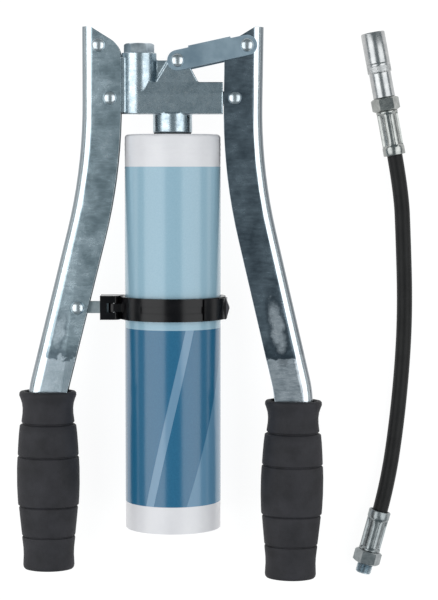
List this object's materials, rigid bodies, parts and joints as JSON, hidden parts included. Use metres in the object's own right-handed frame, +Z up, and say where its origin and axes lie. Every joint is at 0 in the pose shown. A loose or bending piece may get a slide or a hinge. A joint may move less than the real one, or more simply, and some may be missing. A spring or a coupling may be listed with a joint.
{
  "type": "grease gun",
  "caption": "Two-handled lever grease gun with a screw-in cartridge held in a strap clamp, and a loose high-pressure hose with a threaded end and a jaw coupler.",
  "frame": {"origin": "centre of the underside of the gun lying on its back, without the hose: the middle of its box in X and Y, at the height of the clamp ring's lowest line", "axes": "+Y along the cartridge towards the pump head, +Z up, +X towards the swinging handle and the hose"},
  "size_m": [0.2446, 0.34, 0.0643],
  "materials": {
    "zinc_casting": "grey die-cast zinc, tumbled, slightly satin",
    "handle_steel": "zinc-plated pressed steel with a mottled satin finish",
    "zinc_plated_steel": "zinc plate with a faint blue tint",
    "rivet_steel": "bright plated rivet",
    "ground_steel": "ground and hardened steel",
    "spring_steel": "drawn spring wire",
    "soft_aluminium": "soft aluminium",
    "seal_rubber": "nitrile rubber",
    "grip_rubber": "matte moulded rubber",
    "cartridge_plastic": "translucent white polyethylene",
    "label_film": "printed film in two blues",
    "piston_plastic": "moulded polyethylene",
    "clamp_plastic": "black glass-filled nylon",
    "hose_rubber": "black hose cover with a satin surface",
    "fitting_steel": "zinc-plated turned steel",
    "coupler_chrome": "bright plated turned steel"
  },
  "bodies": {
    "frame": {"pump_head": "zinc_casting", "plunger_seal": "seal_rubber", "seal_retainer": "ground_steel", "outlet_fitting": "zinc_plated_steel", "outlet_washer": "soft_aluminium", "check_spring": "spring_steel", "left_handle": "handle_steel", "left_grip": "grip_rubber", "left_handle_rivets": "rivet_steel", "lug_rivet": "rivet_steel", "clamp_saddle": "clamp_plastic", "clamp_hinge_pin": "ground_steel", "clamp_bracket": "zinc_plated_steel", "bracket_rivet": "rivet_steel"},
    "plunger_body": {"plunger": "ground_steel", "plunger_rivet": "rivet_steel"},
    "handle_body": {"right_handle": "handle_steel", "right_grip": "grip_rubber", "link_rivet": "rivet_steel"},
    "link_body": {"link": "zinc_plated_steel"},
    "cartridge": {"cartridge_body": "cartridge_plastic", "neck_seal": "seal_rubber", "cartridge_label": "label_film", "cartridge_cap": "cartridge_plastic"},
    "piston": {"follower_piston": "piston_plastic"},
    "valve_ball": {"check_ball": "ground_steel"},
    "strap": {"clamp_strap": "clamp_plastic"},
    "hose": {"hose_tube": "hose_rubber", "hose_ferrule_lower": "fitting_steel", "hose_thread_end": "fitting_steel", "hose_ferrule_upper": "fitting_steel", "hose_hex_fitting": "fitting_steel", "coupler_body": "coupler_chrome", "coupler_sleeve": "coupler_chrome", "coupler_spring": "spring_steel"},
    "jaws": {"coupler_jaws": "ground_steel", "coupler_seal": "seal_rubber"}
  },
  "joints": [
    {"name": "plunger_slide", "type": "slide", "parent": "frame", "child": "plunger_body", "axis": [1, 0, 0], "range_m": [0, 0.0158]},
    {"name": "handle_swing", "type": "hinge", "parent": "plunger_body", "child": "handle_body", "pos_m": [0.03948, 0.1256, 0.03215], "axis": [0, 0, 1], "range_deg": [0, 28]},
    {"name": "link_swing", "type": "hinge", "parent": "frame", "child": "link_body", "pos_m": [0.00508, 0.148, 0.03215], "axis": [0, 0, 1], "range_deg": [0, 0.6]},
    {"name": "cartridge_turn", "type": "hinge", "parent": "frame", "child": "cartridge", "pos_m": [0.00188, -0.001, 0.03215], "axis": [0, 1, 0], "range_deg": [-360, 0]},
    {"name": "follower_travel", "type": "slide", "parent": "cartridge", "child": "piston", "axis": [0, 1, 0], "range_m": [0, 0.1977]},
    {"name": "check_ball_lift", "type": "slide", "parent": "frame", "child": "valve_ball", "axis": [0, 1, 0], "range_m": [0, 0.001], "stiffness_N_per_m": 100, "springref_m": -0.002},
    {"name": "clamp_open", "type": "hinge", "parent": "frame", "child": "strap", "pos_m": [-0.03372, -0.001, 0.03665], "axis": [0, -1, 0], "range_deg": [0, 100]},
    {"name": "hose_place", "type": "slide", "parent": "frame", "child": "hose", "axis": [1, 0, 0], "range_m": [0, 0.1]},
    {"name": "jaw_travel", "type": "slide", "parent": "hose", "child": "jaws", "axis": [0.1847, -0.9828, 0], "range_m": [0, 0.0015], "stiffness_N_per_m": 400, "springref_m": -0.002}
  ],
  "couplings": [
    {"joint": "plunger_slide", "follows": "handle_swing", "m_per_rad": 0.0318},
    {"joint": "link_swing", "follows": "handle_swing", "ratio": 0.02}
  ]
}
